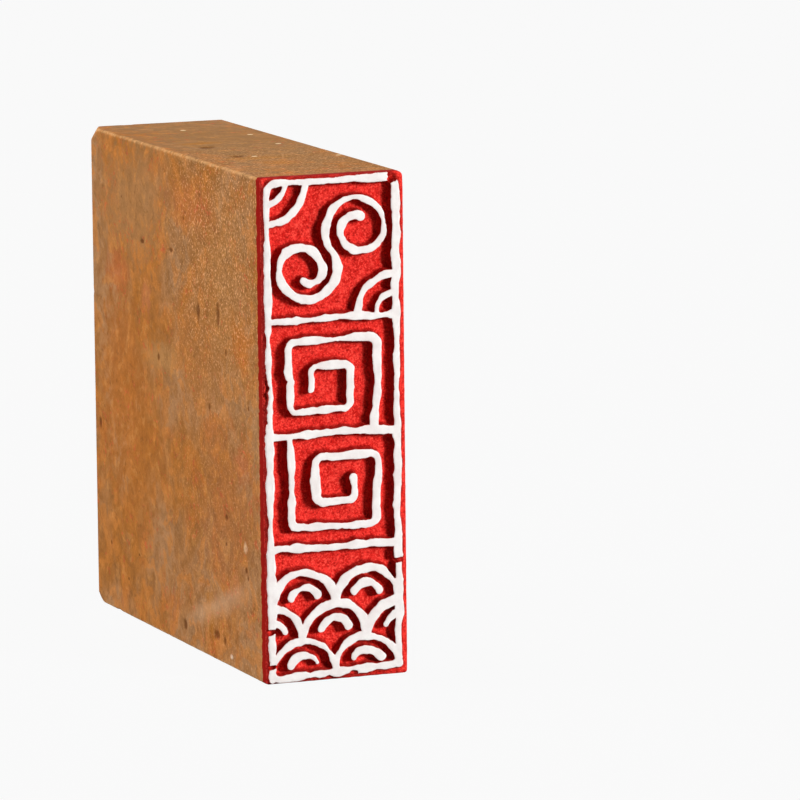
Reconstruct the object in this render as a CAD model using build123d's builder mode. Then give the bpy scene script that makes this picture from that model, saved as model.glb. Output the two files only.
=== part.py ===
"""Seal stamp: a flat stone seal that stands on a narrow side, its carved face upright.

Millimetres. X runs across the narrow carved face, Y from the carved face to the plain
butt end, Z up. The origin is the middle of the side that the stone stands on.
"""

import os
from math import cos, radians, sin

from build123d import *

os.makedirs("parts", exist_ok=True)

# Stone block
block_width = 15.0
block_depth = 50.0
block_height = 50.0
butt_round_plan = 0.5
butt_round_side = 0.4
corner_cut_width = 1.0
corner_cut_depth = 2.9
corner_cut_height = 1.5
arris_round = 0.3
worn_corner_round = 0.7

# Carving and the layers on it
relief_depth = 1.2
margin_depth = 0.6
coat_thickness = 0.1
film_thickness = 0.1
stroke_width = 0.76
cut_overrun = 0.5

# Margins between the border's outer side and the block's sides
left_margin = 0.15
right_margin = 0.7
top_margin = 0.15
foot_margin = 0.45

# Turns of the strokes
border_round = 0.9
fret_round = 0.75

# Cloud panel: two curls linked in its middle, and arcs in its other two corners
cloud_side_gap = 0.55
cloud_rail_gap = 1.13
curl_turn_shares = (1.0, 0.74, 0.42)
curl_angles = (215, 180, 130)
curl_heading = 52
corner_arc_pitch = 2.0

# Fret panel: a bar, and a squared scroll on each side of it, as shares of the panel
fret_bar_share = 0.5
fret_upper_shares = (
    (0.835, 0.5),
    (0.835, 0.91),
    (0.165, 0.904),
    (0.165, 0.605),
    (0.64, 0.6),
    (0.64, 0.8),
    (0.34, 0.794),
    (0.34, 0.698),
)

# Wave panel: rows of arches with a smaller arch, the ripple, inside each one
wave_sky = 2.45
ripple_half_angle = 65
ripple_round_share = 0.455
ripple_lift_share = 0.13
wave_rows = ((1, 3), (0, 2, 4), (1, 3))

# Worked out from the sizes above
ridge_height = relief_depth - coat_thickness
margin_rise = relief_depth - margin_depth
face_y = -block_depth / 2
floor_y = face_y + relief_depth
stone_depth = block_depth - relief_depth
field_left = -block_width / 2 + left_margin + stroke_width / 2
field_width = block_width - left_margin - right_margin - stroke_width
field_foot = foot_margin + stroke_width / 2
field_height = block_height - foot_margin - top_margin - stroke_width
field_top = field_foot + field_height
field_middle = field_left + field_width / 2
wave_round = field_width / 4
wave_rail = field_foot + len(wave_rows) * wave_round + wave_sky
curl_round = (field_width / 2 - stroke_width - cloud_side_gap) / (1 + sin(radians(curl_heading)))
curl_reach = curl_round * (1 + cos(radians(curl_heading)))
cloud_middle = field_top - stroke_width - cloud_rail_gap - curl_reach
cloud_rail = 2 * cloud_middle - field_top
fret_height = cloud_rail - wave_rail
fret_bar = wave_rail + fret_bar_share * fret_height

floor_plane = Plane(origin=(0, floor_y, 0), x_dir=(1, 0, 0), z_dir=(0, -1, 0))
ridge_plane = floor_plane.offset(ridge_height)


def across_field(height):
    with BuildLine() as line:
        Line((field_left, height), (field_left + field_width, height))
    return line.line


def border_lines():
    """The frame round the field, and the two rails across it."""
    with BuildLine() as frame:
        FilletPolyline(
            (field_left, field_foot),
            (field_left + field_width, field_foot),
            (field_left + field_width, field_top),
            (field_left, field_top),
            radius=border_round,
            close=True,
        )
    return [frame.line, across_field(cloud_rail), across_field(wave_rail)]


def fret_lines():
    """A bar from side to side, a squared scroll above it, and the same one turned below."""
    lower_shares = [(1 - across, 2 * fret_bar_share - up) for across, up in fret_upper_shares]
    lines = [across_field(fret_bar)]
    for scroll_shares in (fret_upper_shares, lower_shares):
        points = [
            (field_left + across * field_width, wave_rail + up * fret_height)
            for across, up in scroll_shares
        ]
        with BuildLine() as scroll:
            FilletPolyline(*points, radius=fret_round)
        lines.append(scroll.line)
    return lines


def arch_lines(radius, half_angle, lift, columns):
    """Rows of arches, each row on the crests of the row below, like fish scales."""
    lines = []
    for row, row_columns in enumerate(wave_rows):
        for column in sorted(set(row_columns).intersection(columns)):
            first = 90 - (half_angle if column < 4 else 0)
            last = 90 + (half_angle if column > 0 else 0)
            centre = (field_left + column * wave_round, field_foot + row * wave_round + lift)
            with BuildLine() as arch:
                CenterArc(centre, radius, first, last - first)
            lines.append(arch.line)
    return lines


def ripple_lines(columns):
    radius = ripple_round_share * wave_round
    return arch_lines(radius, ripple_half_angle, ripple_lift_share * wave_round, columns)


def cloud_lines():
    """One curl winds in from the panel's middle to its upper right, one to its lower left."""
    lines = []
    for heading_angle in (180 - curl_heading, -curl_heading):
        end = (field_middle, cloud_middle)
        heading = (cos(radians(heading_angle)), sin(radians(heading_angle)))
        with BuildLine() as curl:
            for share, angle in zip(curl_turn_shares, curl_angles):
                turn = JernArc(end, heading, curl_round * share, -angle)
                end, heading = turn @ 1, turn % 1
        lines.append(curl.line)
    return lines


def corner_arc_lines():
    """Quarter arcs about the cloud panel's upper left and lower right corners."""
    lines = []
    lower_right = (field_left + field_width, cloud_rail)
    for corner, first in (((field_left, field_top), -90), (lower_right, 90)):
        for count in (1, 2):
            with BuildLine() as arc:
                CenterArc(corner, count * corner_arc_pitch, first, 90)
            lines.append(arc.line)
    return lines


def lay_strokes(lines, width):
    """Widens centre lines into strokes with rounded ends."""
    faces = []
    for line in lines:
        faces += trace(line, line_width=width, mode=Mode.PRIVATE).faces()
        with Locations(line @ 0, line @ 1):
            faces += Circle(width / 2, mode=Mode.PRIVATE).faces()
    add(faces)


# The centre lines of what stands up from the carved ground, by the name of the coat on it
side_columns, inner_columns = (0, 4), (1, 2, 3)
wave_lines = arch_lines(wave_round, 90, 0, side_columns + inner_columns)
tied_lines = corner_arc_lines() + fret_lines() + wave_lines + ripple_lines(side_columns)
centre_lines = {
    "white_border": border_lines() + tied_lines,
    "white_ripples": ripple_lines(inner_columns),
    "white_cloud": cloud_lines(),
}
all_lines = [line for lines in centre_lines.values() for line in lines]


def outline_face():
    """The block's outline across its depth: one corner worn rounder than the others."""
    with Locations((0, block_height / 2)):
        Rectangle(block_width, block_height)
    worn_corner = vertices().group_by(Axis.Y)[-1].sort_by(Axis.X)[-1]
    fillet(worn_corner, worn_corner_round)
    sharp_corners = vertices().group_by(Axis.Y)[0] + vertices().group_by(Axis.X)[0][-1:]
    fillet(sharp_corners, arris_round)


def outline_field(mode):
    """The carved field, to the centre line of its border."""
    with Locations((field_middle, (field_foot + field_top) / 2)):
        RectangleRounded(field_width, field_height, border_round, mode=mode)


def outline_margin():
    """The strip between the border and the block's sides."""
    outline_face()
    outline_field(Mode.SUBTRACT)


def outline_margin_cut():
    """The same strip, run past the block's sides."""
    with Locations((0, block_height / 2)):
        Rectangle(block_width + 2 * cut_overrun, block_height + 2 * cut_overrun)
    outline_field(Mode.SUBTRACT)


def outline_panel(low, high):
    """The field between two heights."""
    with Locations((field_middle, (low + high) / 2)):
        Rectangle(field_width, high - low)
    outline_field(Mode.INTERSECT)


def film_on(rise, zone, cut_zone, *heights):
    """A film on a zone that is cut to that rise above the floor, and up the ridges' walls in it."""
    with BuildPart() as film:
        with BuildSketch(floor_plane.offset(rise)):
            zone(*heights)
            add(ridge_outline.sketch_local, mode=Mode.SUBTRACT)
        extrude(amount=ridge_height - rise)
        with BuildSketch(floor_plane.offset(rise + film_thickness)):
            cut_zone(*heights)
            add(skin_outline.sketch_local, mode=Mode.SUBTRACT)
        extrude(amount=ridge_height, mode=Mode.SUBTRACT)
    return film.part.solids()


def write_node(name, part):
    part.label = name
    export_step(part, f"parts/{name}.step")
    print(name, len(part.solids()), round(part.volume, 3))


# The ridges' outline, and the same outline with a film's thickness round it
with BuildSketch() as ridge_outline:
    lay_strokes(all_lines, stroke_width)
with BuildSketch() as skin_outline:
    lay_strokes(all_lines, stroke_width + 2 * film_thickness)

# The stone: its outline through the depth, rounded round the butt end, with one corner of that end
# cut off, and on the carved face the raised margin and the ridges left standing
with BuildPart() as stone_block:
    with BuildSketch(floor_plane):
        outline_face()
    extrude(amount=-stone_depth)
    with BuildSketch(Plane.XY):
        with Locations((0, floor_y + stone_depth / 2)):
            Rectangle(block_width, stone_depth)
        fillet(vertices().group_by(Axis.Y)[-1], butt_round_plan)
    extrude(amount=block_height, mode=Mode.INTERSECT)
    with BuildSketch(Plane.YZ.offset(-block_width / 2)):
        with Locations((floor_y + stone_depth / 2, block_height / 2)):
            Rectangle(stone_depth, block_height)
        fillet(vertices().group_by(Axis.X)[-1], butt_round_side)
    extrude(amount=block_width, mode=Mode.INTERSECT)
    beside_corner = (corner_cut_width - block_width / 2, block_depth / 2, block_height)
    cut_slope = (-1 / corner_cut_width, 1 / corner_cut_depth, 1 / corner_cut_height)
    split(bisect_by=Plane(origin=beside_corner, z_dir=cut_slope), keep=Keep.BOTTOM)
    with BuildSketch(floor_plane):
        outline_margin()
    extrude(amount=margin_rise)
    with BuildSketch(floor_plane):
        add(ridge_outline.sketch_local)
    extrude(amount=ridge_height)
write_node("stone_block", stone_block.part)

# White coat on the crown of the ridges
for coat_name, lines in centre_lines.items():
    with BuildPart() as coat:
        with BuildSketch(ridge_plane):
            lay_strokes(lines, stroke_width)
        extrude(amount=coat_thickness)
    write_node(coat_name, coat.part)

# Red film in the hollows, panel by panel
margin_film = film_on(margin_rise, outline_margin, outline_margin_cut)
cloud_films = film_on(0, outline_panel, outline_panel, cloud_rail, field_top).sort_by(SortBy.VOLUME)
upper_fret_film = film_on(0, outline_panel, outline_panel, fret_bar, cloud_rail)
lower_fret_film = film_on(0, outline_panel, outline_panel, wave_rail, fret_bar)
wave_films = film_on(0, outline_panel, outline_panel, field_foot, wave_rail).sort_by(Axis.Z)
films = {
    "red_margin": margin_film,
    "red_cloud_ground": cloud_films[-1:],
    "red_corner_wells": cloud_films[:-1],
    "red_upper_fret": upper_fret_film,
    "red_lower_fret": lower_fret_film,
    "red_above_waves": wave_films[-1:],
    "red_wave_wells": wave_films[:-1],
}
for film_name, solids in films.items():
    with BuildPart() as film_node:
        add(solids)
    write_node(film_name, film_node.part)
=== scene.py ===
"""Stone seal stamp: the looks of its stone, its white coat and its vermilion, on the frame."""

import math

import bpy
import numpy as np
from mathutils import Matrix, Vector


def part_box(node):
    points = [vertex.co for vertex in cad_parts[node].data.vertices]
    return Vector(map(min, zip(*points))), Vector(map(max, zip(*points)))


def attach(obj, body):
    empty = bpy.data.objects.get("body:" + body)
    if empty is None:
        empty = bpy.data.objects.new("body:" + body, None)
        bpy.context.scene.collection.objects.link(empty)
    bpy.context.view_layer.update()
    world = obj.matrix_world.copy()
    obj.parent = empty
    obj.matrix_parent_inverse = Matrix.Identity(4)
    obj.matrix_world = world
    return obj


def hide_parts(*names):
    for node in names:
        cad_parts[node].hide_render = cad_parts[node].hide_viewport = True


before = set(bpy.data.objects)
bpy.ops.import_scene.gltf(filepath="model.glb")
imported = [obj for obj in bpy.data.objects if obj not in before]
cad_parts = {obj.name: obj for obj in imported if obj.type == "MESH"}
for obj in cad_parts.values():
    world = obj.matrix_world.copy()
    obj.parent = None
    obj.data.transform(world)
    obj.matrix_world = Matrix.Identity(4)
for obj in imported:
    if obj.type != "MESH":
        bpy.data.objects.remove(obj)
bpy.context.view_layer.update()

MM = 0.001

# Closeness: points in one plane, points welded into one, points on a stroke's edge, and the least
# length to divide by
SAME_PLANE = 1e-6
WELD = 1e-7
ON_EDGE = 1e-9
TINY = 1e-12

# The block, from the frame
stone_low, stone_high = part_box("stone_block")
_, margin_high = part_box("red_margin")
well_low, well_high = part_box("red_cloud_ground")
coat_low, coat_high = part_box("white_border")
BLOCK_LEFT, BLOCK_RIGHT = stone_low.x, stone_high.x
BLOCK_FOOT, BLOCK_TOP = stone_low.z, stone_high.z
BUTT_Y = stone_high.y
GROUND_Y = well_high.y
MARGIN_Y = margin_high.y
RIDGE_Y = well_low.y
FACE_Y = coat_low.y
RIDGE_HEIGHT = GROUND_Y - RIDGE_Y
MARGIN_RISE = GROUND_Y - MARGIN_Y
HALF_WIDTH = (BLOCK_RIGHT - BLOCK_LEFT) / 2
HALF_HEIGHT = (BLOCK_TOP - BLOCK_FOOT) / 2
MIDDLE_Z = (BLOCK_TOP + BLOCK_FOOT) / 2

# Roundings of the block
ARRIS_ROUND = 0.3 * MM
WORN_CORNER_ROUND = 0.7 * MM
BUTT_ROUND_PLAN = 0.5 * MM
BUTT_ROUND_SIDE = 0.4 * MM
BUTT_ROUND_STEPS = 6

# Corners worn off: each corner by its signs, and how far in from it wearing starts along X, Y, Z
WORN_CORNERS = (
    ((-1, 1, 1), (1.0 * MM, 2.9 * MM, 1.5 * MM)),
    ((-1, 1, -1), (0.5 * MM, 2.6 * MM, 1.2 * MM)),
    ((1, 1, 1), (0.6 * MM, 0.8 * MM, 0.6 * MM)),
    ((1, 1, -1), (0.7 * MM, 1.1 * MM, 0.8 * MM)),
)

# Wear of the block: how deep each kind goes, how far it reaches and the size of its noise
ARRIS_REACH = 0.28 * MM
ARRIS_WEAR = 0.03 * MM
ARRIS_WEAR_SIZE = 0.6 * MM
ARRIS_CHIP = 0.18 * MM
ARRIS_CHIP_SIZE = 1.7 * MM
CORNER_UNEVEN_SHARE = 0.06
CORNER_UNEVEN_SIZE = 1.3 * MM
# The pale edge tint, partly worn stone and partly a painted highlight: its reach and gain
WEAR_AND_HIGHLIGHT_REACH = 0.32 * MM
WEAR_AND_HIGHLIGHT_GAIN = 1.15
LAPPING_WAVE = 0.025 * MM
LAPPING_SIZE = 9.0 * MM
LAPPING_EDGE = 1.5 * MM

# Meshes: the steps of the face's and the stone's grids, how far the labels of the coats spread and
# the least angle of a sharp edge
FACE_PITCH = 0.08 * MM
STONE_FINE = 0.11 * MM
STONE_COARSE = 0.36 * MM
STONE_GROWTH = 1.14
LABEL_ROUNDS = 24
SHARP_DEGREES = 38.0

# The carving: how far from the strokes distances are measured, the strokes' width, the walls' run
# and curve, the least slope for moving a point onto a line, the bank along the walls' foot, the
# scoops of the floor, the margin kept clear and the tilt of the border's foot
REACH = 1.2 * MM
STROKE_WIDTH = 0.76 * MM
WALL_RUN = 0.17 * MM
WALL_CURVE = 1.25
LEAST_STEEPNESS = 0.09
FLOOR_BANK = 0.2 * MM
FLOOR_BANK_REACH = 0.3 * MM
FLOOR_SCOOP = 0.06 * MM
FLOOR_SCOOP_SIZE = 1.5 * MM
LEAST_MARGIN = 0.04 * MM
FOOT_TILT = 0.055
FOOT_TILT_HEIGHT = 3.0 * MM

# What a knife does to the strokes: how far each change goes and the size of its noise
STROKE_BEND = 0.16 * MM
STROKE_BEND_SIZE = 4.2 * MM
STROKE_BEND_EDGE = 1.5 * MM
STROKE_SWELL = 0.13 * MM
STROKE_SWELL_SIZE = 2.4 * MM
STROKE_NICK = 0.13 * MM
STROKE_NICK_SIZE = 1.0 * MM
CHIP_RAGGED_SHARE = 0.3
CHIP_RAGGED_SIZE = 0.5 * MM

# The coats: the red film, thinner at the block's outline, and the white coat, rounded at its edges
FILM_THICKNESS = 0.1 * MM
FILM_LEAST = 0.03 * MM
FILM_SKIN = 0.08 * MM
FILM_SKIN_LEAST = 0.02 * MM
FILM_RIM = 0.15 * MM
FILM_RIM_SHARE = 0.3
FILM_GRAIN = 0.035 * MM
FILM_GRAIN_SIZE = 0.34 * MM
COAT_GRAIN = 0.006 * MM
COAT_ROUND = 0.04 * MM
COAT_ROUND_REACH = 0.12 * MM

# How far the stone's own carved face lies below the coats: on the ridges, the walls and the ground,
# all of it only beyond a rim along the block's outline
STONE_UNDER_CROWN = 0.2 * MM
STONE_UNDER_WALL = 0.16 * MM
STONE_UNDER_FILM = 0.08 * MM
STONE_RIM = 0.25 * MM

# Chips out of the border: places across and up the face, half widths across and up
CHIPS = (
    (6.3 * MM, 49.5 * MM, 0.85 * MM, 0.6 * MM),
    (-7.5 * MM, 28.8 * MM, 0.45 * MM, 3.4 * MM),
    (-7.3 * MM, 5.3 * MM, 0.75 * MM, 0.3 * MM),
    (-7.2 * MM, 1.8 * MM, 0.75 * MM, 0.28 * MM),
    (6.6 * MM, 11.5 * MM, 0.7 * MM, 0.26 * MM),
    (1.6 * MM, 0.62 * MM, 0.4 * MM, 0.25 * MM),
)

# How deep a pit sinks and how wide its bell is, as shares of its radius
PIT_SINK_SHARE = 0.3
PIT_BELL = 1.1

# Pits in the stone, in millimetres: a point on its surface, the pit's radius and how much taller
# than wide it is
PITS = (
    ((-7.5, 9.5, 39.8), 0.5, 0.45),
    ((-7.5, 1.1, 39.9), 0.55, 0.45),
    ((-7.5, -2.8, 43.6), 0.18, 1.2),
    ((-7.5, -6.6, 34.7), 0.5, 2.3),
    ((-7.5, -12.2, 35.1), 0.5, 2.5),
    ((-7.5, -14.4, 31.6), 0.26, 1.6),
    ((-7.5, -20.6, 26.8), 0.22, 1.2),
    ((-7.5, 23.2, 19.2), 0.34, 1.8),
    ((-7.5, 20.4, 6.9), 0.24, 1.2),
    ((-7.5, -10.6, 2.6), 0.8, 0.6),
    ((-7.5, -13.0, 2.3), 0.35, 1.3),
    ((-7.5, -1.6, 2.0), 0.5, 1.0),
    ((-7.5, -14.0, 15.0), 0.4, 0.8),
    ((-7.5, -19.4, 10.6), 0.3, 1.0),
    ((-7.5, -19.9, 9.8), 0.2, 1.5),
    ((-7.5, -9.5, 25.5), 0.26, 1.7),
    ((-7.5, 5.1, 28.5), 0.26, 1.5),
    ((-2.9, 2.5, 50.0), 0.8, 1.0),
    ((-2.9, -6.0, 50.0), 0.7, 1.0),
)

# Patches of colour on the stone: centre and half widths along X, Y and Z in millimetres, the
# screen colour's red, green and blue, and its strength
TINTS = (
    ((-7.5, 12.0, 43.0), (3.0, 11.0, 7.0), 174, 125, 78, 0.75),
    ((-7.5, -14.0, 38.0), (3.0, 9.0, 12.0), 178, 122, 68, 0.7),
    ((-7.5, -6.0, 30.0), (3.0, 7.0, 7.0), 180, 118, 64, 0.6),
    ((-7.5, 16.0, 24.0), (3.0, 8.0, 12.0), 182, 110, 50, 0.7),
    ((-7.5, -14.0, 15.0), (3.0, 9.0, 9.0), 174, 112, 66, 0.6),
    ((-7.5, 17.0, 36.0), (3.0, 4.0, 2.6), 192, 104, 56, 0.6),
    ((-7.5, 8.5, 34.5), (3.0, 1.6, 2.4), 198, 122, 78, 0.6),
    ((-7.5, 4.6, 28.6), (3.0, 6.0, 1.8), 202, 148, 90, 0.5),
    ((-7.5, -19.0, 33.0), (3.0, 3.4, 3.2), 200, 118, 50, 0.7),
    ((-7.5, -5.0, 45.0), (3.0, 8.0, 3.0), 196, 116, 68, 0.45),
    ((-7.5, -18.5, 21.0), (3.0, 2.2, 2.2), 204, 110, 62, 0.5),
    ((-7.5, 12.0, 18.0), (3.0, 9.0, 9.0), 184, 112, 48, 0.5),
    ((-7.5, -9.0, 4.6), (3.0, 2.0, 2.6), 192, 120, 40, 0.6),
    ((-7.5, -16.4, 8.6), (3.0, 1.5, 1.8), 206, 132, 82, 0.5),
    ((1.0, 4.0, 50.0), (11.0, 36.0, 1.5), 164, 118, 70, 0.9),
    ((-1.0, -13.0, 50.0), (2.6, 2.2, 1.0), 198, 124, 50, 0.7),
    ((-2.5, 5.5, 50.0), (3.0, 1.2, 1.0), 184, 118, 40, 0.7),
    ((-1.5, -8.5, 50.0), (4.0, 1.6, 1.0), 186, 124, 48, 0.6),
    ((-7.5, -14.8, 1.1), (1.0, 0.5, 0.3), 240, 214, 186, 0.8),
    ((-7.5, -19.2, 12.8), (1.0, 0.6, 0.6), 236, 190, 146, 0.8),
)

# Bright flecks on the top, in millimetres
SPARKS = (
    (-0.1, 17.0, 50.0),
    (4.9, 10.7, 50.0),
    (4.6, 1.9, 50.0),
    (6.5, -9.9, 50.0),
    (-1.4, -7.1, 50.0),
)

# A pale haze on the left side, in millimetres: where it starts, the way it runs, the way across it
# and its length
HAZE_START = (-7.5, -1.0, 2.6)
HAZE_ALONG = (0.0, -0.95, 0.31)
HAZE_ACROSS = (0.0, 0.31, 0.95)
HAZE_LENGTH = 23.0

WHITE_NODES = ("white_border", "white_cloud", "white_ripples")
RED_NODES = (
    "red_margin",
    "red_cloud_ground",
    "red_corner_wells",
    "red_upper_fret",
    "red_lower_fret",
    "red_above_waves",
    "red_wave_wells",
)


# Noise and steps

NOISE_VALUES = 8192
NOISE_STRIDES = (73856093, 19349663, 83492791)


def smooth(t):
    """3t^2 - 2t^3, held at 0 below 0 and at 1 above 1."""
    t = np.clip(t, 0.0, 1.0)
    return t * t * (3.0 - 2.0 * t)


def lattice_noise(x, y, z, size, seed, ease=smooth):
    """Noise from -1 to 1: a random value at each corner of a cubic lattice of that size, blended
    between the corners by the smooth step of the place inside the cell, or by another ease."""
    table = np.random.default_rng(seed).uniform(-1.0, 1.0, NOISE_VALUES)
    cells, weights = [], []
    for along in (x, y, z):
        place = np.asarray(along) / size
        cell = np.floor(place).astype(np.int64)
        cells.append(cell)
        weights.append(ease(place - cell))
    total = 0.0
    for steps in np.ndindex(2, 2, 2):
        key, share = 0, 1.0
        for cell, weight, step, stride in zip(cells, weights, steps, NOISE_STRIDES):
            key = key ^ (cell + step) * stride
            share = share * (weight if step else 1.0 - weight)
        total = total + share * table[key % NOISE_VALUES]
    return total


def layered_noise(x, y, z, size, seed, layers=3, ease=smooth):
    """Lattice noises added up, each half the size and half the height of the one before."""
    return sum(lattice_noise(x, y, z, size / 2**k, seed + k, ease) / 2**k for k in range(layers))


# The block's shape


def round_section(x, z, half_x, half_z, rounds):
    """Rounds the corners of a rectangular section about the origin. Inside each corner's square the
    point (u, v) from the arc's centre is pulled to the radius max(u, v), so the square's two outer
    sides become a quarter circle. rounds gives a radius for each corner by its signs."""
    for (side_x, side_z), radius in rounds.items():
        u = side_x * x - (half_x - radius)
        v = side_z * z - (half_z - radius)
        inside = (u > 0) & (v > 0)
        pull = np.maximum(u, v) / np.maximum(np.hypot(u, v), TINY)
        x = np.where(inside, side_x * (half_x - radius + u * pull), x)
        z = np.where(inside, side_z * (half_z - radius + v * pull), z)
    return x, z


def block_section(x, z, inset_x=0.0, inset_z=0.0):
    """The block's cross section at one depth: the rectangle drawn in by the insets, its corners
    rounded, the upper right one more than the others."""
    half_x, half_z = HALF_WIDTH - inset_x, HALF_HEIGHT - inset_z
    rounds = {(-1, -1): ARRIS_ROUND, (1, -1): ARRIS_ROUND, (-1, 1): ARRIS_ROUND}
    rounds[1, 1] = WORN_CORNER_ROUND
    x = x * half_x / HALF_WIDTH
    up = (z - MIDDLE_Z) * half_z / HALF_HEIGHT
    x, up = round_section(x, up, half_x, half_z, rounds)
    return x, up + MIDDLE_Z


def side_gaps(x, y, z):
    """For each side of the block: its axis, its sign and the points' distance from it."""
    return (
        (0, -1, x - BLOCK_LEFT),
        (0, 1, BLOCK_RIGHT - x),
        (1, -1, np.maximum(y - MARGIN_Y, 0.0)),
        (1, 1, BUTT_Y - y),
        (2, -1, z - BLOCK_FOOT),
        (2, 1, BLOCK_TOP - z),
    )


def arris_nearness(x, y, z, reach):
    """For each pair of neighbouring sides, exp(-(gap to one + gap to the other) / reach)."""
    sides = side_gaps(x, y, z)
    for first, (axis_a, sign_a, gap_a) in enumerate(sides):
        for axis_b, sign_b, gap_b in sides[first + 1:]:
            if axis_a != axis_b:
                yield axis_a, sign_a, axis_b, sign_b, np.exp(-(gap_a + gap_b) / reach)


def wear_arrises(x, y, z):
    """Draws the points near an edge in from both of its sides, by an amount that chips deepen where
    a noise n passes 0.6: worn depth (1 + noise / 2) + chip smooth((n - 0.6) / 0.5)."""
    amount = ARRIS_WEAR * (1.0 + 0.5 * lattice_noise(x, y, z, ARRIS_WEAR_SIZE, seed=17))
    chips = layered_noise(x, y, z, ARRIS_CHIP_SIZE, seed=11)
    amount = amount + ARRIS_CHIP * smooth((chips - 0.6) / 0.5)
    shift = [0.0, 0.0, 0.0]
    for axis_a, sign_a, axis_b, sign_b, near in arris_nearness(x, y, z, ARRIS_REACH):
        shift[axis_a] = shift[axis_a] - sign_a * amount * near
        shift[axis_b] = shift[axis_b] - sign_b * amount * near
    return x + shift[0], y + shift[1], z + shift[2]


def wear_corners(x, y, z):
    """Wears corners of the block down to an uneven slanting plane: where the shares of the way in
    from the corner, (gap / run) along each axis, add up to less than 1, the point moves inwards
    along the plane's normal until they make 1."""
    uneven = CORNER_UNEVEN_SHARE * layered_noise(x, y, z, CORNER_UNEVEN_SIZE, seed=91, layers=2)
    for (side_x, side_y, side_z), runs in WORN_CORNERS:
        gap_x = BLOCK_RIGHT - x if side_x > 0 else x - BLOCK_LEFT
        gap_z = BLOCK_TOP - z if side_z > 0 else z - BLOCK_FOOT
        gaps = (gap_x, BUTT_Y - y, gap_z)
        level = sum(gap / run for gap, run in zip(gaps, runs))
        lift = np.maximum(1.0 + uneven - level, 0.0) / sum(1 / run**2 for run in runs)
        x, y, z = (
            place - side * lift / run
            for place, side, run in zip((x, y, z), (side_x, side_y, side_z), runs)
        )
    return x, y, z


def edge_wear_and_highlight_tint(x, y, z):
    """How pale the stone is at its edges, 0 to 1, partly worn and partly a painted highlight: its
    nearness to any edge, times a gain.
    """
    near = [share for *_, share in arris_nearness(x, y, z, WEAR_AND_HIGHLIGHT_REACH)]
    return np.clip(WEAR_AND_HIGHLIGHT_GAIN * np.max(near, axis=0), 0.0, 1.0)


# Outlines of the carved strokes, read from the frame


def plane_outline(node, y):
    """The boundary segments (x1, z1, x2, z2) of a node's flat faces at depth y: the edges that
    only one of those faces' triangles has."""
    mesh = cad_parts[node].data
    mesh.calc_loop_triangles()
    points = np.empty(len(mesh.vertices) * 3)
    mesh.vertices.foreach_get("co", points)
    points = points.reshape(-1, 3)
    corners = np.empty(len(mesh.loop_triangles) * 3, dtype=np.int32)
    mesh.loop_triangles.foreach_get("vertices", corners)
    corners = corners.reshape(-1, 3)
    corners = corners[(np.abs(points[corners][:, :, 1] - y) < SAME_PLANE).all(axis=1)]
    keys = np.round(points[:, [0, 2]] / WELD).astype(np.int64)
    places, index = np.unique(keys, axis=0, return_inverse=True)
    corners = index.reshape(-1)[corners]
    edges = np.concatenate([corners[:, [0, 1]], corners[:, [1, 2]], corners[:, [2, 0]]])
    edges, counts = np.unique(np.sort(edges, axis=1), axis=0, return_counts=True)
    edges = edges[counts == 1]
    return np.hstack([places[edges[:, 0]], places[edges[:, 1]]]) * WELD


def measure(segments, x, z):
    """Distance from each grid point to the nearest segment, up to REACH, and whether the point is
    inside by the even-odd rule. Each row of the grid meets only the segments near its height."""
    distance = np.full(x.shape, REACH)
    inside = np.zeros(x.shape, dtype=bool)
    x1, z1, x2, z2 = segments.T
    low, high = np.minimum(z1, z2), np.maximum(z1, z2)
    for row in range(x.shape[0]):
        near = (high > z[row].min() - REACH) & (low < z[row].max() + REACH)
        if not near.any():
            continue
        px, pz = x[row][:, None], z[row][:, None]
        ax, az, bx, bz = x1[near], z1[near], x2[near], z2[near]
        run_x, run_z = bx - ax, bz - az
        along = ((px - ax) * run_x + (pz - az) * run_z) / (run_x**2 + run_z**2)
        along = np.clip(along, 0.0, 1.0)
        gaps = np.hypot(px - ax - along * run_x, pz - az - along * run_z)
        distance[row] = np.minimum(distance[row], gaps.min(axis=1))
        rise = np.where(run_z == 0, 1.0, run_z)
        hits = ((az > pz) != (bz > pz)) & (px < ax + (pz - az) / rise * run_x)
        inside[row] = hits.sum(axis=1) % 2 == 1
    return distance, inside


def outline_gap(x, z):
    """Distance from the nearest side of the block's outline, across or up."""
    across = np.minimum(x - BLOCK_LEFT, BLOCK_RIGHT - x)
    return np.minimum(across, np.minimum(z - BLOCK_FOOT, BLOCK_TOP - z))


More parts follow.
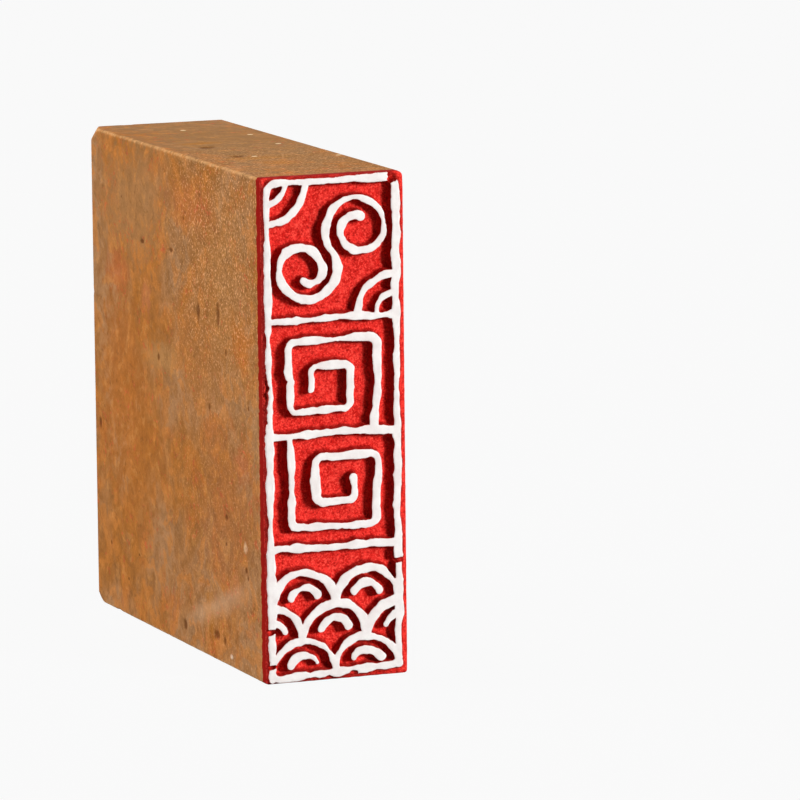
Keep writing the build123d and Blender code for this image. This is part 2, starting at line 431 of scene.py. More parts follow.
def stroke_distance(x, z):
    """Signed distance from the cut edge of the strokes, below 0 on a stroke. Slow noise bends the
    strokes away from the block's outline and thickens and thins them, creased noise nicks their
    edges, chips are cut out of the border as ragged ellipses, and the least margin is kept clear
    along the outline. The border's foot is tilted."""
    flat = np.zeros_like(x)
    bend = STROKE_BEND * smooth(outline_gap(x, z) / STROKE_BEND_EDGE)
    bent_x = x + bend * layered_noise(x, flat, z, STROKE_BEND_SIZE, seed=61, layers=2)
    bent_z = z + bend * layered_noise(x, flat, z, STROKE_BEND_SIZE, seed=67, layers=2)
    bent_z = bent_z - FOOT_TILT * x * (1.0 - smooth(z / FOOT_TILT_HEIGHT))
    distance = np.full(x.shape, REACH)
    inside = np.zeros(x.shape, dtype=bool)
    for node in WHITE_NODES:
        gap, within = measure(plane_outline(node, FACE_Y), bent_x, bent_z)
        distance = np.minimum(distance, gap)
        inside |= within
    signed = np.where(inside, -distance, distance)
    swell = lattice_noise(x, flat, z, STROKE_SWELL_SIZE, seed=23)
    nicks = layered_noise(x, flat, z, STROKE_NICK_SIZE, seed=29, ease=np.abs)
    signed = signed - STROKE_SWELL * swell + STROKE_NICK * nicks
    ragged = layered_noise(x, flat, z, CHIP_RAGGED_SIZE, seed=83, layers=2)
    ragged = 1.0 + CHIP_RAGGED_SHARE * ragged
    for across, up, half_across, half_up in CHIPS:
        level = np.hypot((x - across) / half_across, (z - up) / half_up)
        signed = np.maximum(signed, (ragged - level) * min(half_across, half_up))
    return np.maximum(signed, LEAST_MARGIN - outline_gap(x, z))


def ground_rise(x, z):
    """How far the cut ground stands above the wells' floor: the margin's rise outside the middle of
    the border, falling to 0 inside it over the width of a stroke, with a smooth step."""
    inset = STROKE_WIDTH / 2
    across = np.minimum(x - coat_low.x, coat_high.x - x) - inset
    up = np.minimum(z - coat_low.z, coat_high.z - z) - inset
    return MARGIN_RISE * smooth(0.5 - np.minimum(across, up) / STROKE_WIDTH)


def snap_to(level, x, z, signed, pitch):
    """Moves the points within half a step of a level line onto it, along the slope of the signed
    distance, all but the grid's outer ring."""
    slope_z, slope_x = np.gradient(signed, pitch)
    steep = slope_x**2 + slope_z**2
    near = (np.abs(signed - level) < 0.5 * pitch * np.sqrt(steep)) & (steep > LEAST_STEEPNESS)
    near[[0, -1], :] = False
    near[:, [0, -1]] = False
    step = np.where(near, (level - signed) / np.maximum(steep, LEAST_STEEPNESS), 0.0)
    return x + step * slope_x, z + step * slope_z, np.where(near, level, signed)


def ridge_share(signed):
    """1 on a stroke and 0 on the cut ground: (1 - t)^curve over the wall between them."""
    return (1.0 - np.clip(signed / WALL_RUN, 0.0, 1.0)) ** WALL_CURVE


# Meshes


def make_piece(name, node, points, faces, finish, attributes):
    """A piece from arrays of points and of triangles or quads, smooth but at sharp edges, with a
    number at each point for each attribute. It stands for a node of the frame."""
    mesh = bpy.data.meshes.new(name)
    size = faces.shape[1]
    mesh.vertices.add(len(points))
    mesh.vertices.foreach_set("co", points.astype(np.float32).ravel())
    mesh.loops.add(faces.size)
    mesh.loops.foreach_set("vertex_index", faces.astype(np.int32).ravel())
    mesh.polygons.add(len(faces))
    mesh.polygons.foreach_set("loop_start", np.arange(0, faces.size, size, dtype=np.int32))
    mesh.update(calc_edges=True)
    mesh.validate()
    for attribute, values in attributes.items():
        layer = mesh.attributes.new(attribute, "FLOAT", "POINT")
        layer.data.foreach_set("value", values.astype(np.float32))
    mesh.shade_smooth()
    mesh.set_sharp_from_angle(angle=math.radians(SHARP_DEGREES))
    mesh.materials.append(finish.material)
    piece = bpy.data.objects.new(name, mesh)
    bpy.context.collection.objects.link(piece)
    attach(piece, "root")
    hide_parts(node)
    return piece


def slab(outer, inner, triangles):
    """A closed slab: the triangles on the outer points, the same ones turned over on the inner
    points, and a wall of two triangles under each edge that only one triangle has. Also returns
    which grid point each point comes from."""
    edges = np.concatenate([triangles[:, [0, 1]], triangles[:, [1, 2]], triangles[:, [2, 0]]])
    count = len(outer)
    forward = edges[:, 0] * count + edges[:, 1]
    backward = edges[:, 1] * count + edges[:, 0]
    rim = edges[~np.isin(forward, backward)]
    lower = np.stack([rim[:, 1], rim[:, 0], rim[:, 0] + count], axis=1)
    upper = np.stack([rim[:, 1], rim[:, 0] + count, rim[:, 1] + count], axis=1)
    faces = np.concatenate([triangles, triangles[:, ::-1] + count, lower, upper])
    used, index = np.unique(faces, return_inverse=True)
    return np.concatenate([outer, inner])[used], index.reshape(faces.shape), used % count


def grid_triangles(signed):
    """Two triangles for each cell of the grid. A cell that the zero line crosses from corner to
    corner is cut along that line."""
    rows, columns = signed.shape
    index = np.arange(rows * columns).reshape(rows, columns)
    side = np.sign(np.where(np.abs(signed) < ON_EDGE, 0.0, signed)).ravel()
    low_left, low_right = index[:-1, :-1].ravel(), index[:-1, 1:].ravel()
    top_left, top_right = index[1:, :-1].ravel(), index[1:, 1:].ravel()
    turned = (side[low_left] * side[top_right] < 0)[:, None]
    first = np.where(
        turned,
        np.stack([low_left, low_right, top_left], axis=1),
        np.stack([low_left, low_right, top_right], axis=1),
    )
    second = np.where(
        turned,
        np.stack([low_right, top_right, top_left], axis=1),
        np.stack([low_left, top_right, top_left], axis=1),
    )
    return np.concatenate([first, second])


def grow_labels(labels, rounds):
    """Spreads each label into the unlabelled points beside it, one grid step a round."""
    for _ in range(rounds):
        for axis, step in ((0, 1), (0, -1), (1, 1), (1, -1)):
            moved = np.roll(labels, step, axis=axis)
            labels = np.where((labels < 0) & (moved >= 0), moved, labels)
    return labels


def label_points(nodes, x, z):
    """The number of the node that each point of the face belongs to, or the nearest one: a coat's
    outline is read at its front, a film's at its floor."""
    labels = np.full(x.shape, -1)
    for number, node in enumerate(nodes):
        low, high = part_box(node)
        y = low.y if node in WHITE_NODES else high.y
        labels[measure(plane_outline(node, y), x, z)[1]] = number
    return grow_labels(labels, LABEL_ROUNDS).ravel()


def coat_surfaces(x, z, signed):
    """The depths y of the white coat's front, the film's front and the film's back. The film's
    height is the ground's rise, a bank exp(-gap / reach) along the walls' foot and the film's own
    thickness with its grain, and on the walls it climbs to the ridge's height. The coat is rounded
    down where it meets a cut edge."""
    flat = np.zeros_like(x)
    ridge = ridge_share(signed)
    grain = layered_noise(x, flat, z, FILM_GRAIN_SIZE, seed=41, layers=2)
    scoops = layered_noise(x, flat, z, FLOOR_SCOOP_SIZE, seed=47, layers=2)
    rim = smooth(outline_gap(x, z) / FILM_RIM)
    thickness = FILM_THICKNESS * (FILM_RIM_SHARE + (1.0 - FILM_RIM_SHARE) * rim)
    thickness = thickness + rim * (FILM_GRAIN * grain + FLOOR_SCOOP * scoops)
    rise = ground_rise(x, z)
    bank = FLOOR_BANK * rim * np.exp(-np.maximum(signed - WALL_RUN, 0.0) / FLOOR_BANK_REACH)
    ground = rise + bank + np.maximum(thickness, FILM_LEAST)
    outer_height = ground + (RIDGE_HEIGHT - ground) * ridge
    inner_height = rise + (RIDGE_HEIGHT - FILM_THICKNESS - rise) * ridge_share(signed + FILM_SKIN)
    inner_height = np.minimum(outer_height - FILM_SKIN_LEAST, inner_height)
    crown = COAT_ROUND * (1.0 - smooth(-signed / COAT_ROUND_REACH))
    coat_y = FACE_Y + crown + COAT_GRAIN * (1.0 + grain).clip(0.0)
    return coat_y, GROUND_Y - outer_height, GROUND_Y - inner_height


def carve_face(white, red):
    """The white coat and the red film on the carved face. One grid carries both: its points lie on
    the strokes' edges, its triangles on a stroke make the coat and the rest make the film."""
    columns, rows = round(2 * HALF_WIDTH / FACE_PITCH), round(2 * HALF_HEIGHT / FACE_PITCH)
    across = np.linspace(BLOCK_LEFT, BLOCK_RIGHT, columns + 1)
    up = np.linspace(BLOCK_FOOT, BLOCK_TOP, rows + 1)
    x, z = block_section(*np.meshgrid(across, up))
    signed = stroke_distance(x, z)
    for level in (0.0, WALL_RUN):
        x, z, signed = snap_to(level, x, z, signed, FACE_PITCH)
    coat_y, film_y, film_back_y = coat_surfaces(x, z, signed)
    coat_back_y = np.full_like(x, RIDGE_Y)

    def lay(y):
        return np.stack([part.ravel() for part in wear_arrises(x, y, z)], axis=1)

    triangles = grid_triangles(signed)
    depth = signed.ravel()[triangles]
    on_stroke = depth.mean(axis=1) < 0
    deepest = np.take_along_axis(triangles, depth.argmax(axis=1)[:, None], axis=1)[:, 0]
    highest = np.take_along_axis(triangles, depth.argmin(axis=1)[:, None], axis=1)[:, 0]
    coat = (WHITE_NODES, "white_coat", white, on_stroke, highest, coat_y, coat_back_y)
    film = (RED_NODES, "vermilion", red, ~on_stroke, deepest, film_y, film_back_y)
    for nodes, slot, finish, chosen, guide, outer_y, inner_y in (coat, film):
        labels = label_points(nodes, x, z)
        outer, inner = lay(outer_y), lay(inner_y)
        for number, node in enumerate(nodes):
            own = triangles[chosen & (labels[guide] == number)]
            points, faces, source = slab(outer, inner, own)
            attributes = {"from_edge": signed.ravel()[source] / MM}
            make_piece(node + "_skin", node, points, faces, finish, attributes)


def spaced(length, fine, coarse, growth):
    """Places from 0 to length, fine at both ends, each step the growth times the last one up to the
    coarse step, and all of them stretched alike to meet in the middle."""
    steps = []
    step = fine
    while sum(steps) + step < length / 2:
        steps.append(step)
        step = min(step * growth, coarse)
    half = np.concatenate([[0.0], np.cumsum(steps)]) / (sum(steps) + step / 2) * length / 2
    return np.concatenate([half, length - half[::-1]])


def weld_patches(patches):
    """One mesh from grids of points (x, y, z): its points, those that coincide made one, and a quad
    for each cell of each grid."""
    points, quads, start = [], [], 0
    for x, y, z in patches:
        index = np.arange(x.size).reshape(x.shape) + start
        start += x.size
        corners = (index[:-1, :-1], index[:-1, 1:], index[1:, 1:], index[1:, :-1])
        quads.append(np.stack([corner_index.ravel() for corner_index in corners], axis=1))
        points.append(np.stack([x.ravel(), y.ravel(), z.ravel()], axis=1))
    keys = np.round(np.concatenate(points) / WELD).astype(np.int64)
    places, index = np.unique(keys, axis=0, return_inverse=True)
    return places * WELD, index.reshape(-1)[np.concatenate(quads)]


def block_shell():
    """The stone as one closed shell: the carved face with its ridges, the butt end, and four sides
    of rings carried from the face to the butt end. The last rings draw in along a quarter circle,
    by 1 - cos of its angle times the plan radius across and times the side radius up and down."""
    across = BLOCK_LEFT + spaced(2 * HALF_WIDTH, STONE_FINE, STONE_COARSE, STONE_GROWTH)
    up = BLOCK_FOOT + spaced(2 * HALF_HEIGHT, STONE_FINE, STONE_COARSE, STONE_GROWTH)
    straight = BUTT_Y - BUTT_ROUND_PLAN - MARGIN_Y
    run = spaced(straight, STONE_FINE, STONE_COARSE, STONE_GROWTH)[:-1]
    turn = np.radians(np.linspace(0, 90, BUTT_ROUND_STEPS + 1))
    depth = MARGIN_Y + np.concatenate([run, straight + BUTT_ROUND_PLAN * np.sin(turn)])
    drawn = np.concatenate([np.zeros_like(run), 1 - np.cos(turn)])

    def station(x, z, level):
        x, z = block_section(x, z, BUTT_ROUND_PLAN * drawn[level], BUTT_ROUND_SIDE * drawn[level])
        return x, np.full_like(x, depth[level]), z

    face_x, face_z = np.meshgrid(across, up)
    x, y, z = station(face_x, face_z, 0)
    rise = ground_rise(x, z)
    ridge = ridge_share(stroke_distance(x, z) + STONE_UNDER_WALL)
    height = rise + (RIDGE_HEIGHT - STONE_UNDER_CROWN - rise) * ridge
    rim = smooth(outline_gap(face_x, face_z) / STONE_RIM)
    y = y + rim * (MARGIN_RISE + STONE_UNDER_FILM - height)
    patches = [(x, y, z)]
    patches.append([part[:, ::-1] for part in station(face_x, face_z, -1)])
    for upright, sign in ((True, -1), (True, 1), (False, -1), (False, 1)):
        if upright:
            edge_x, edge_z = np.full_like(up, sign * HALF_WIDTH), up
        else:
            edge_x, edge_z = across, np.full_like(across, MIDDLE_Z + sign * HALF_HEIGHT)
        rings = [station(edge_x, edge_z, level) for level in range(len(depth))]
        patch = [np.stack([ring[axis] for ring in rings]) for axis in range(3)]
        patches.append([part[::-1] for part in patch] if upright == (sign == 1) else patch)
    return weld_patches(patches)


def lap_sides(x, y, z):
    """Hollows the five ground sides a little, as hand lapping leaves them: each point on one is
    drawn in from it by a slow noise that fades to 0 at the edges. The carved face stays."""
    noise = layered_noise(x, y, z, LAPPING_SIZE, seed=71, layers=2)
    depth = LAPPING_WAVE * (1.0 + noise).clip(0.0)
    moved = [x, y, z]
    sides = side_gaps(x, y, z)
    for axis, sign, gap in sides:
        if (axis, sign) == (1, -1):
            continue
        others = [other_gap for other_axis, _, other_gap in sides if other_axis != axis]
        clear = smooth(np.min(others, axis=0) / LAPPING_EDGE)
        moved[axis] = moved[axis] - sign * depth * clear * (gap < SAME_PLANE)
    return moved


def dent_pits(x, y, z):
    """Sinks each pit as a bell, exp(-(distance / width)^2), into the top or the left side."""
    for (at_x, at_y, at_z), radius, tall in PITS:
        gap_x, gap_y, gap_z = x - at_x * MM, y - at_y * MM, (z - at_z * MM) / tall
        away = np.sqrt(gap_x**2 + gap_y**2 + gap_z**2)
        bell = np.exp(-((away / (PIT_BELL * radius * MM)) ** 2))
        sink = PIT_SINK_SHARE * radius * MM * bell
        if at_z * MM > BLOCK_TOP - ARRIS_ROUND:
            z = z - sink
        else:
            x = x + sink
    return x, y, z


def shape_stone(finish):
    """The stone's shell, worn, lapped and pitted."""
    points, quads = block_shell()
    x, y, z = points.T
    # Paler edges: partly worn stone, partly a painted highlight
    edge_wear_and_highlight = edge_wear_and_highlight_tint(x, y, z)
    x, y, z = wear_arrises(*wear_corners(*dent_pits(*lap_sides(x, y, z))))
    points = np.stack([x, y, z], axis=1)
    make_piece("stone_skin", "stone_block", points, quads, finish, {"edge_wear_and_highlight": edge_wear_and_highlight})


# Materials


def ink(red, green, blue):
    """A colour for a shader from its screen values, 0 to 255. A share c of 255 becomes c / 12.92
    where it's small, and ((c + 0.055) / 1.055)^2.4 above that."""
    shares = [value / 255 for value in (red, green, blue)]
    curve = [c / 12.92 if c < 0.04045 else ((c + 0.055) / 1.055) ** 2.4 for c in shares]
    return (*curve, 1.0)


# Colours of the stone
TAN = ink(178, 129, 86)
OCHRE = ink(176, 111, 50)
WARM_DRIFT = ink(190, 108, 48)
DUSKY_DRIFT = ink(152, 108, 68)
LIGHT_BLOTCH = ink(200, 126, 60)
DARK_BLOTCH = ink(158, 104, 54)
RUST = ink(202, 96, 60)
UMBER = ink(122, 80, 42)
TAWNY = ink(204, 140, 76)
SAND = ink(244, 186, 134)
FLECK = ink(250, 226, 180)
PIT_BROWN = ink(104, 58, 26)
PALE_HAZE = ink(222, 182, 146)
# Pale tint of the edges: worn stone and a painted highlight
WORN_AND_HIGHLIT_STONE = ink(234, 178, 120)
PAINT_STAIN = ink(158, 24, 16)

# Colours of the vermilion and of the white coat
DEEP_VERMILION = ink(206, 32, 26)
VERMILION = ink(233, 54, 46)
GRAIN_SHADE = ink(120, 4, 3)
# Paler grains painted as glints
GRAIN_GLINT = ink(255, 86, 72)
# Painted shade for the foot of the wells' walls
PAINTED_WALL_SHADE = ink(88, 2, 2)
COAT_WHITE = ink(244, 239, 236)
COAT_CLOUD = ink(236, 228, 225)
COAT_EDGE = ink(240, 196, 188)


# Sockets of a Mix node that mixes colours: its factor, its two colours and its result
MIX_FACTOR, MIX_FIRST, MIX_SECOND, MIX_RESULT = 0, 6, 7, 2

# Dots: the share of a dot's radius that it fills, and the width of the draw between dot and no dot
DOT_CORE = 0.55
DOT_DRAW = 0.02


class Wire:
    """A socket in a node tree. Arithmetic on it adds Math nodes to the tree."""

    def __init__(self, nodes, socket):
        self.nodes = nodes
        self.socket = socket

    def math(self, operation, *values):
        return self.nodes.node("ShaderNodeMath", {"operation": operation}, values)

    def __add__(self, other):
        return self.math("ADD", self, other)

    def __radd__(self, other):
        return self.math("ADD", other, self)

    def __sub__(self, other):
        return self.math("SUBTRACT", self, other)

    def __mul__(self, other):
        return self.math("MULTIPLY", self, other)

    def __rmul__(self, other):
        return self.math("MULTIPLY", other, self)

    def larger(self, other):
        return self.math("MAXIMUM", self, other)

    def swing(self, height):
        """Noise about 0.5 turned into noise about 0, times a height."""
        return (self - 0.5) * height

    def step(self, low, high):
        """0 up to low and 1 from high, with a smooth step between. Where low is the higher of the
        two, 1 up to high and 0 from low."""
        limits = {"Value": self, "From Min": low, "From Max": high}
        return self.nodes.node("ShaderNodeMapRange", {"interpolation_type": "SMOOTHSTEP"}, limits)


class Nodes:
    """A node tree, with one way to add any node to it."""

    def __init__(self, tree):
        self.tree = tree

    def feed(self, socket, value):
        if isinstance(value, Wire):
            self.tree.links.new(value.socket, socket)
        else:
            socket.default_value = value

    def node(self, kind, settings=None, inputs=(), output=0):
        """Adds a node: its settings first, then the value or the link of each input."""
        made = self.tree.nodes.new(kind)
        for name, value in (settings or {}).items():
            setattr(made, name, value)
        for name, value in inputs.items() if isinstance(inputs, dict) else enumerate(inputs):
            self.feed(made.inputs[name], value)
        return Wire(self, made.outputs[output])

    def blend(self, factor, first, second):
        """The first colour turned into the second by the factor."""
        inputs = {MIX_FACTOR: factor, MIX_FIRST: first, MIX_SECOND: second}
        return self.node("ShaderNodeMix", {"data_type": "RGBA"}, inputs, MIX_RESULT)

    def vector(self, operation, *values, output=0):
        return self.node("ShaderNodeVectorMath", {"operation": operation}, values, output)

    def scaled(self, vector, factor):
        settings = {"operation": "SCALE"}
        return self.node("ShaderNodeVectorMath", settings, {"Vector": vector, "Scale": factor})

    def noise(self, place, size, detail=2.0, roughness=0.5, shift=(0.0, 0.0, 0.0), output="Fac"):
        """Noise about 0.5 with features of that size, in the units of the place, read at a shift
        from the place so that two noises differ."""
        inputs = {"Vector": self.vector("ADD", place, shift), "Scale": 1 / size}
        inputs.update({"Detail": detail, "Roughness": roughness})
        return self.node("ShaderNodeTexNoise", None, inputs, output)

    def part(self, place, axis):
        """One coordinate of a place, by its axis, X, Y or Z."""
        return self.node("ShaderNodeSeparateXYZ", None, (place,), axis)

    def away(self, place, centre, widths=(1.0, 1.0, 1.0)):
        """The distance of a place from a centre, as a share of the widths along X, Y and Z."""
        gap = self.vector("DIVIDE", self.vector("SUBTRACT", place, centre), widths)
        return self.vector("LENGTH", gap, output="Value")

    def dots(self, place, spacing, radius, share, shift):
        """1 in round dots of that radius, one in each cell of that spacing but only in a share of
        the cells, and 0 between them, read at a shift from the place."""
        inputs = {"Vector": self.vector("ADD", place, shift), "Scale": 1 / spacing}
        distance = self.node("ShaderNodeTexVoronoi", None, inputs, "Distance")
        chance = self.node("ShaderNodeTexVoronoi", None, inputs, "Color")
        chosen = self.part(chance, "X").step(1 - share, 1 - share + DOT_DRAW)
        return distance.step(radius / spacing, DOT_CORE * radius / spacing) * chosen


class Finish(Nodes):
    """A material: its Principled shader, and the place on the piece in millimetres."""

    def __init__(self, name, **constants):
        self.material = bpy.data.materials.new(name)
        self.material.use_nodes = True
        super().__init__(self.material.node_tree)
        self.shader = self.tree.nodes["Principled BSDF"]
        for socket, value in constants.items():
            self.shader.inputs[socket.replace("_", " ")].default_value = value
        self.place = self.scaled(self.node("ShaderNodeTexCoord", output="Object"), 1 / MM)

    def attribute(self, name):
        return self.node("ShaderNodeAttribute", {"attribute_name": name}, output="Fac")

    def dress(self, colour, roughness, height, strength):
        """Feeds the shader its colour, its roughness and a bump of that height in millimetres."""
        self.feed(self.shader.inputs["Base Color"], colour)
        self.feed(self.shader.inputs["Roughness"], roughness)
        inputs = {"Strength": strength, "Distance": MM, "Height": height}
        self.feed(self.shader.inputs["Normal"], self.node("ShaderNodeBump", None, inputs))
        return self


def stone_body(f, flow, streaks, mottle):
    """The stone's own colour: broad clouds from greyish tan to ochre, warmer and duskier drifts and
    light and dark blotches in them, the patches in their places, and rusty, dusky and tawny specks.
    Noise lies about 0.5, so a step above that picks its peaks and one below it its valleys."""
    clouds = f.noise(flow, size=10.0, detail=3.0)
    drifts = f.noise(flow, size=4.5, detail=4.0, roughness=0.6, shift=(31.0, 7.0, 13.0))
    blotches = f.noise(flow, size=2.6, detail=3.0, shift=(5.0, 19.0, 11.0))
    colour = f.blend(clouds.step(0.36, 0.62), TAN, OCHRE)
    colour = f.blend(drifts.step(0.52, 0.7) * 0.6, colour, WARM_DRIFT)
    colour = f.blend(drifts.step(0.45, 0.3) * 0.6, colour, DUSKY_DRIFT)
    colour = f.blend(blotches.step(0.52, 0.58) * 0.55, colour, LIGHT_BLOTCH)
    colour = f.blend(blotches.step(0.46, 0.4) * 0.5, colour, DARK_BLOTCH)
    for centre, widths, red, green, blue, strength in TINTS:
        away = f.away(f.place, centre, widths) + streaks.swing(1.5) + mottle.swing(1.2)
        colour = f.blend(away.step(1.15, 0.3) * strength, colour, ink(red, green, blue))
    rusty = f.noise(flow, size=0.7, detail=4.0, roughness=0.65).step(0.57, 0.64)
    rusty = rusty * f.noise(flow, size=5.0, detail=1.0).step(0.48, 0.6)
    dusky = f.noise(flow, size=0.8, detail=4.0, roughness=0.65, shift=(17.0, 3.0, 29.0))
    tawny = f.noise(flow, size=1.6, detail=4.0, roughness=0.65, shift=(9.0, 27.0, 3.0))
    colour = f.blend(rusty * 0.65, colour, RUST)
    colour = f.blend(dusky.step(0.58, 0.66) * 0.36, colour, UMBER)
    return f.blend(tawny.step(0.56, 0.64) * 0.4, colour, TAWNY)


def stone_flecks(f):
    """1 in the bright flecks, some of the top in their places and others strewn, 0 elsewhere."""
    flecks = f.dots(f.place, spacing=6.5, radius=0.2, share=0.4, shift=(3.0, 5.0, 2.0))
    for centre in SPARKS:
        flecks = flecks.larger(f.away(f.place, centre).step(0.38, 0.22))
    return flecks


def stone_pits(f, mottle):
    """1 in the dark pits, most in their places and others strewn, 0 elsewhere."""
    pits = f.dots(f.place, spacing=5.2, radius=0.22, share=0.35, shift=(11.0, 2.0, 7.0))
    for centre, radius, tall in PITS:
        away = f.away(f.place, centre, (1.0, 1.0, tall)) + mottle.swing(0.9 * radius)
        pits = pits.larger(away.step(1.35 * radius, 0.5 * radius))
    return pits


def stone_haze(f, streaks):
    """How strong the pale haze on the left side is, 0 to 1: a band with soft, uneven edges."""
    from_start = f.vector("SUBTRACT", f.place, HAZE_START)
    along = f.vector("DOT_PRODUCT", from_start, HAZE_ALONG, output="Value")
    across = f.vector("DOT_PRODUCT", from_start, HAZE_ACROSS, output="Value")
    across = across + streaks.swing(1.2)
    haze = across.step(-2.4, 0.0) * across.step(1.3, -0.2)
    haze = haze * along.step(0.0, 7.0) * along.step(HAZE_LENGTH, HAZE_LENGTH - 9.0)
    return haze * f.part(f.place, "X").step(BLOCK_LEFT / MM + 1.0, BLOCK_LEFT / MM + 0.5)


def stone_finish():
    """Brown carving stone: its mottled body, bright sandy grains high at the carved end, flecks,
    pits, the haze, paler edges, worn and with a painted highlight, and red paint over the face's
    rim."""
    f = Finish("carving_stone", Specular_IOR_Level=0.02)
    warp = f.noise(f.place, size=6.0, output="Color")
    flow = f.vector("MULTIPLY_ADD", warp, (4.0, 4.0, 4.0), f.place)
    streaks = f.noise(flow, size=1.7, detail=3.0, roughness=0.6)
    mottle = f.noise(f.place, size=0.9)
    grain = f.noise(f.place, size=0.26, roughness=0.7)
    pits = stone_pits(f, mottle)
    depth = f.part(f.place, "Y")
    sandy = depth.step(7.0, -9.0) * (0.3 + 0.7 * f.part(f.place, "Z").step(24.0, 38.0))
    light = 1.0 + mottle.swing(0.5) + streaks.swing(0.6) + grain.swing(0.3 + 1.1 * sandy)
    colour = f.scaled(stone_body(f, flow, streaks, mottle), light)
    colour = f.blend(grain.step(0.56, 0.68) * (0.06 + 0.94 * sandy) * 0.7, colour, SAND)
    colour = f.blend(stone_flecks(f), colour, FLECK)
    colour = f.blend(pits * 0.75, colour, PIT_BROWN)
    colour = f.blend(stone_haze(f, streaks) * 0.36, colour, PALE_HAZE)
    # Paler edges, partly worn stone and partly a painted highlight where edges catch the light
    worn_and_highlit = f.attribute("edge_wear_and_highlight") + f.noise(f.place, size=0.5, detail=3.0).swing(0.8)
    colour = f.blend(worn_and_highlit.step(0.35, 0.9) * 0.85, colour, WORN_AND_HIGHLIT_STONE)
    behind_rim = depth - MARGIN_Y / MM + f.noise(f.place, size=0.6, detail=3.0).swing(0.9)
    colour = f.blend(behind_rim.step(1.0, 0.86), colour, PAINT_STAIN)
    relief = mottle * 0.02 + grain * 0.012 - pits * 0.05
    return f.dress(colour, 0.5 + mottle * 0.24, relief, strength=0.8)


def vermilion_finish():
    """Matt vermilion, grainy and clotted, darker between its grains, with painted shade at the foot
    of the walls and a few paler grains painted as glints that catch the light."""
    f = Finish("vermilion", Specular_IOR_Level=0.04)
    clots = f.noise(f.place, size=0.75, detail=3.0, roughness=0.6)
    grain = f.noise(f.place, size=0.2, roughness=0.65)
    tool_marks = f.noise(f.vector("MULTIPLY", f.place, (1.0, 1.0, 0.35)), size=0.3, detail=1.0)
    colour = f.blend(clots.step(0.34, 0.66), DEEP_VERMILION, VERMILION)
    colour = f.blend(grain.step(0.46, 0.34) * 0.55, colour, GRAIN_SHADE)
    # Painted glints: a few paler grains, as if they caught the light
    colour = f.blend(grain.step(0.52, 0.66) * 0.7, colour, GRAIN_GLINT)
    # Painted shade: darker towards the foot of each wall, where the wells' shadows fall
    from_wall = f.attribute("from_edge") + clots.swing(0.4)
    colour = f.blend(from_wall.step(0.4, 0.08) * 0.5, colour, PAINTED_WALL_SHADE)
    relief = clots * 0.05 + grain * 0.05 + tool_marks * 0.02
    return f.dress(colour, 0.62 + grain * 0.2, relief, strength=0.9)


def coat_finish():
    """Dull white coat, faintly uneven, pinker along the cut edges where the red shows through."""
    f = Finish("white_coat", Specular_IOR_Level=0.1)
    grain = f.noise(f.place, size=0.16, roughness=0.6)
    clouds = f.noise(f.place, size=1.4)
    colour = f.blend(clouds.step(0.35, 0.7), COAT_WHITE, COAT_CLOUD)
    colour = f.scaled(colour, 0.95 + grain * 0.1)
    from_edge = f.attribute("from_edge") + clouds.swing(0.08)
    colour = f.blend(from_edge.step(-0.07, 0.0) * 0.55, colour, COAT_EDGE)
    return f.dress(colour, 0.7 + grain * 0.15, grain * 0.012, strength=0.6)


# The object
shape_stone(stone_finish())
carve_face(coat_finish(), vermilion_finish())

# Camera
CAMERA_PLACE = (-228.1 * MM, -606.4 * MM, 126.4 * MM)
CAMERA_TURN_DEGREES = (81.027, 0.564, -22.084)
LENS = 291.4
SENSOR = 36.0
NEAREST, FARTHEST = 0.01, 20.0

camera_data = bpy.data.cameras.new("camera")
camera_data.lens = LENS
camera_data.sensor_width = SENSOR
camera_data.clip_start = NEAREST
camera_data.clip_end = FARTHEST
camera = bpy.data.objects.new("camera", camera_data)
camera.location = CAMERA_PLACE
camera.rotation_euler = [math.radians(angle) for angle in CAMERA_TURN_DEGREES]
bpy.context.collection.objects.link(camera)
bpy.context.scene.camera = camera

# Floor and surroundings
WHITE = (1.0, 1.0, 1.0, 1.0)
FLOOR_HALF = 4.0
FLOOR_COLOUR = (0.2, 0.2, 0.2, 1.0)
FLOOR_WHITE_SHARE = 0.94
SURROUND_LIGHT = 0.05

# Lamps, all aimed at the middle of the block: name, azimuth and elevation in degrees, distance and
# width in metres, and watts
AIM = Vector((0.0, 0.0, 0.025))
LAMPS = (
    ("key", 33.0, 16.0, 1.3, 0.3, 19.4),
    ("side", -115.0, 16.0, 1.0, 0.4, 8.4),
    ("top", -150.0, 72.0, 1.2, 0.5, 4.4),
)


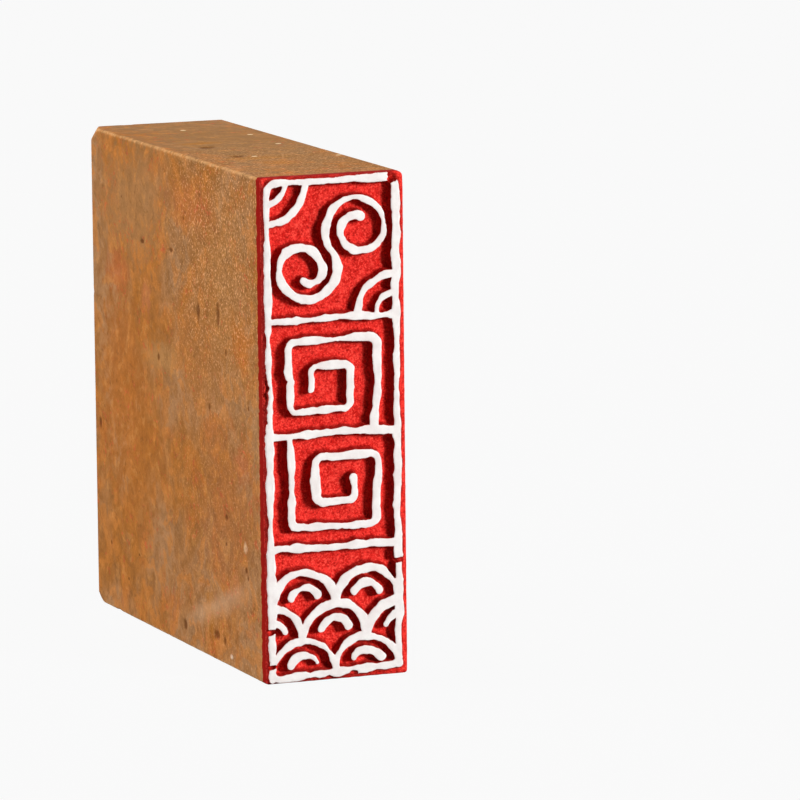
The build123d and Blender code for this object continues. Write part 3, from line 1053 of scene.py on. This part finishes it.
def lay_floor():
    """A dim floor that the camera sees mostly as plain white, with a share of its real light."""
    signs = ((-1, -1), (1, -1), (1, 1), (-1, 1))
    corners = [(FLOOR_HALF * side_x, FLOOR_HALF * side_y, 0.0) for side_x, side_y in signs]
    mesh = bpy.data.meshes.new("floor")
    mesh.from_pydata(corners, [], [(0, 1, 2, 3)])
    floor = bpy.data.objects.new("floor", mesh)
    bpy.context.collection.objects.link(floor)
    f = Finish("floor", Roughness=0.9, Specular_IOR_Level=0.0)
    f.feed(f.shader.inputs["Base Color"], FLOOR_COLOUR)
    seen = f.node("ShaderNodeLightPath", output="Is Camera Ray")
    white = f.node("ShaderNodeEmission", None, {"Color": WHITE, "Strength": 1.0})
    real = Wire(f, f.shader.outputs[0])
    mixed = f.node("ShaderNodeMixShader", None, (seen * FLOOR_WHITE_SHARE, real, white))
    f.feed(f.tree.nodes["Material Output"].inputs["Surface"], mixed)
    mesh.materials.append(f.material)


def soft_lamp(name, azimuth, elevation, distance, width, watts):
    """A disk lamp that points at the object from a direction: azimuth 0 is in front of the face."""
    turn, rise = math.radians(azimuth), math.radians(elevation)
    level = math.cos(rise)
    away = Vector((math.sin(turn) * level, -math.cos(turn) * level, math.sin(rise)))
    lamp_data = bpy.data.lights.new(name, "AREA")
    lamp_data.shape = "DISK"
    lamp_data.size = width
    lamp_data.energy = watts
    lamp = bpy.data.objects.new(name, lamp_data)
    lamp.location = AIM + distance * away
    lamp.rotation_euler = away.to_track_quat("Z", "Y").to_euler()
    bpy.context.collection.objects.link(lamp)


def light_surroundings():
    """A surround that lights dimly, and that the camera, gloss and glass see as white."""
    world = bpy.data.worlds.new("surroundings")
    world.use_nodes = True
    bpy.context.scene.world = world
    w = Nodes(world.node_tree)
    camera_ray, glossy_ray, glass_ray = (
        w.node("ShaderNodeLightPath", output=f"Is {kind} Ray")
        for kind in ("Camera", "Glossy", "Transmission")
    )
    seen = camera_ray.larger(glossy_ray).larger(glass_ray)
    strength = SURROUND_LIGHT + seen * (1.0 - SURROUND_LIGHT)
    w.feed(w.tree.nodes["Background"].inputs["Color"], WHITE)
    w.feed(w.tree.nodes["Background"].inputs["Strength"], strength)


lay_floor()
for lamp_values in LAMPS:
    soft_lamp(*lamp_values)
light_surroundings()
bpy.context.scene.view_settings.view_transform = "Standard"
